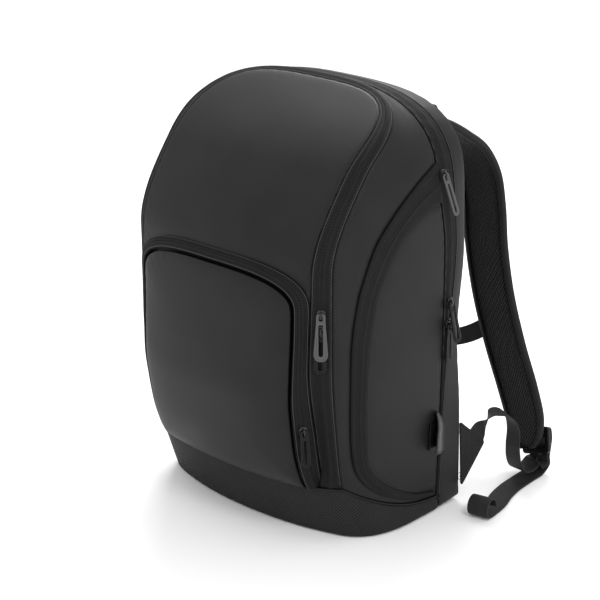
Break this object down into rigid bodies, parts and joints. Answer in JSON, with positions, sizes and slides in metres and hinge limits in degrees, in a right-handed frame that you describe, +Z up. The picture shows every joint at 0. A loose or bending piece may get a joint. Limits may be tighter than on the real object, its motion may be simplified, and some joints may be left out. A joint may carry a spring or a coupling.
{
  "type": "laptop backpack",
  "caption": "Structured laptop backpack with a domed zip-around front, a bulging front pocket, side zip bands, a stiff base and padded shoulder straps, standing on its base.",
  "frame": {"origin": "middle of the flat underside of the base", "axes": "+Z up, the front pocket faces -Y, the shoulder straps hang at +Y, the cable port is on the +X side"},
  "size_m": [0.4276, 0.3728, 0.463],
  "materials": {
    "shell_cloth": "satin coated polyester, charcoal black",
    "base_cloth": "dotted ballistic weave, black",
    "zip_tape": "ribbed zip tape over a covered coil, black",
    "air_mesh": "padded spacer mesh, black",
    "webbing": "ribbed nylon webbing, dark grey",
    "black_metal": "glossy black lacquer",
    "pull_rubber": "grey rubbery coating",
    "black_plastic": "moulded, fine satin",
    "hood_leather": "smooth imitation leather, satin"
  },
  "bodies": {
    "root": {"base_boot": "base_cloth", "front_panel": "shell_cloth", "front_zip_band": "zip_tape", "main_panel": "shell_cloth", "rear_zip_band": "zip_tape", "rear_gusset": "shell_cloth", "back_panel": "air_mesh", "pocket_zip_band": "zip_tape", "pocket_panel": "shell_cloth", "side_zip_band_right": "zip_tape", "side_zip_band_left": "zip_tape", "usb_hood": "hood_leather", "usb_port": "black_plastic", "front_upper_slider": "black_metal", "front_upper_pull": "pull_rubber", "front_lower_slider": "black_metal", "front_lower_pull": "black_plastic", "rear_top_slider": "black_metal", "rear_top_pull": "pull_rubber", "rear_mid_slider": "black_metal", "rear_mid_pull": "black_plastic", "rear_low_slider": "black_metal", "rear_low_pull": "black_plastic", "pocket_slider": "black_metal", "pocket_pull": "black_plastic", "shoulder_pad_right": "air_mesh", "shoulder_pad_left": "air_mesh", "anchor_wing_right": "base_cloth", "anchor_wing_left": "base_cloth", "adjuster_webbing_right": "webbing", "adjuster_webbing_left": "webbing", "ladder_lock_right": "black_plastic", "ladder_lock_left": "black_plastic", "sternum_strap_right": "webbing", "sternum_strap_left": "webbing", "sternum_buckle": "black_plastic", "strap_yoke": "shell_cloth", "haul_loop": "webbing"}
  },
  "joints": []
}
